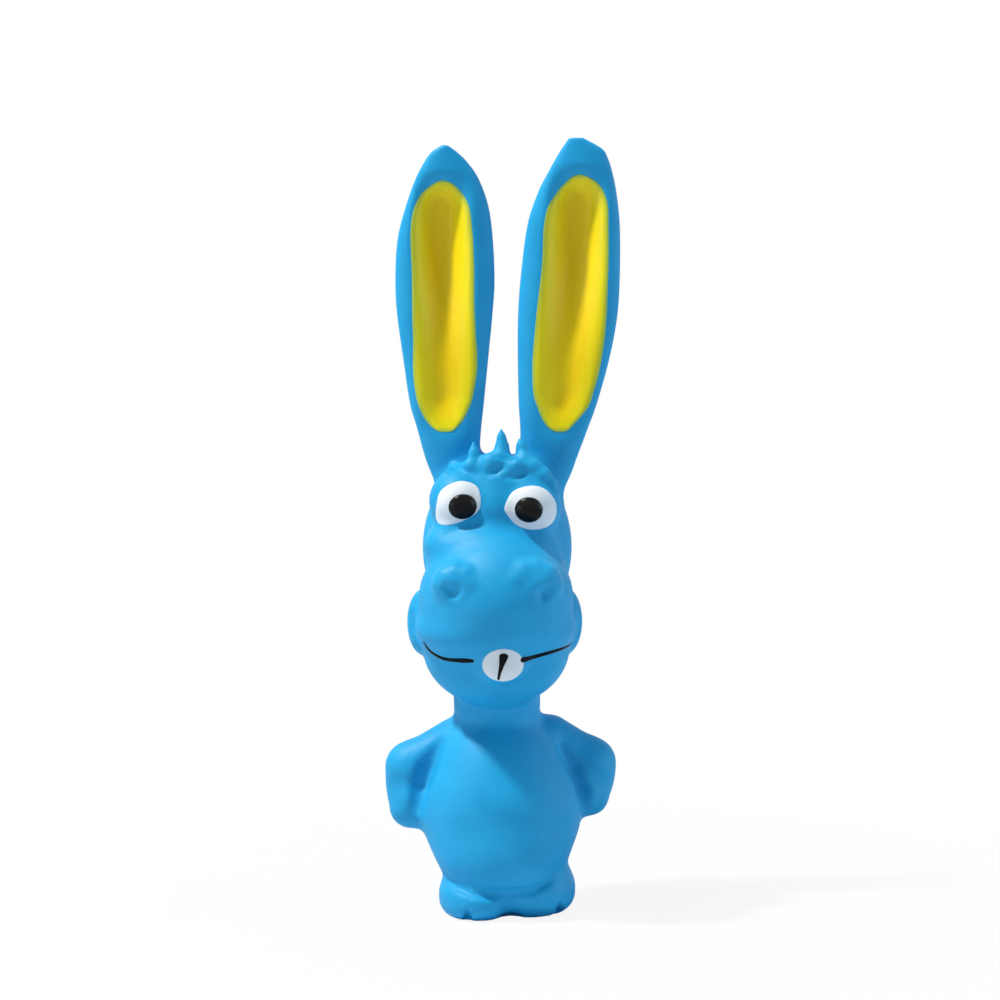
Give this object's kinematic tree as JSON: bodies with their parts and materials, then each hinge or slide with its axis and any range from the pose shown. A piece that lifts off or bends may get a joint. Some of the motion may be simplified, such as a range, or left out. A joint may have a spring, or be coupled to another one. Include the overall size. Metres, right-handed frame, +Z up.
{
  "type": "squeaky dog toy",
  "caption": "Hollow latex donkey dog toy that stands with its hands on its hips, with long bendable scooped ears, painted face and a reed squeaker in its base.",
  "frame": {"origin": "middle of the bounding box in X and Y, on the floor under the soles", "axes": "+Z up from the soles to the ear tips, -Y the way the face looks, +X the toy's own left"},
  "size_m": [0.0502, 0.0388, 0.165],
  "materials": {
    "latex_blue": "satin",
    "lining_yellow": "satin paint on latex",
    "paint_white": "satin paint on latex",
    "paint_black": "glossy paint",
    "squeaker_white": "moulded",
    "reed_film": "smooth film"
  },
  "bodies": {
    "body": {"latex_skin": "latex_blue", "left_eye_white": "paint_white", "right_eye_white": "paint_white", "left_pupil": "paint_black", "right_pupil": "paint_black", "tooth": "paint_white", "tooth_line": "paint_black", "left_mouth_line": "paint_black", "right_mouth_line": "paint_black", "squeaker_barrel": "squeaker_white", "squeaker_cap": "squeaker_white", "reed_holder": "squeaker_white", "reed_clip": "squeaker_white"},
    "left_ear": {"left_ear": "latex_blue", "left_ear_lining": "lining_yellow"},
    "right_ear": {"right_ear": "latex_blue", "right_ear_lining": "lining_yellow"},
    "reed": {"reed": "reed_film"}
  },
  "joints": [
    {"name": "left_ear_bend", "type": "hinge", "parent": "body", "child": "left_ear", "pos_m": [0.00995, 0.00691, 0.0972], "axis": [1, 0, 0], "range_deg": [-50, 20], "stiffness_Nm_per_rad": 0.03},
    {"name": "right_ear_bend", "type": "hinge", "parent": "body", "child": "right_ear", "pos_m": [-0.01071, 0.00691, 0.0972], "axis": [1, 0, 0], "range_deg": [-50, 20], "stiffness_Nm_per_rad": 0.03},
    {"name": "reed_flutter", "type": "hinge", "parent": "body", "child": "reed", "pos_m": [0.0009, 0.00399, 0.0073], "axis": [1, 0, 0], "range_deg": [-3, 3], "stiffness_Nm_per_rad": 0.002}
  ]
}
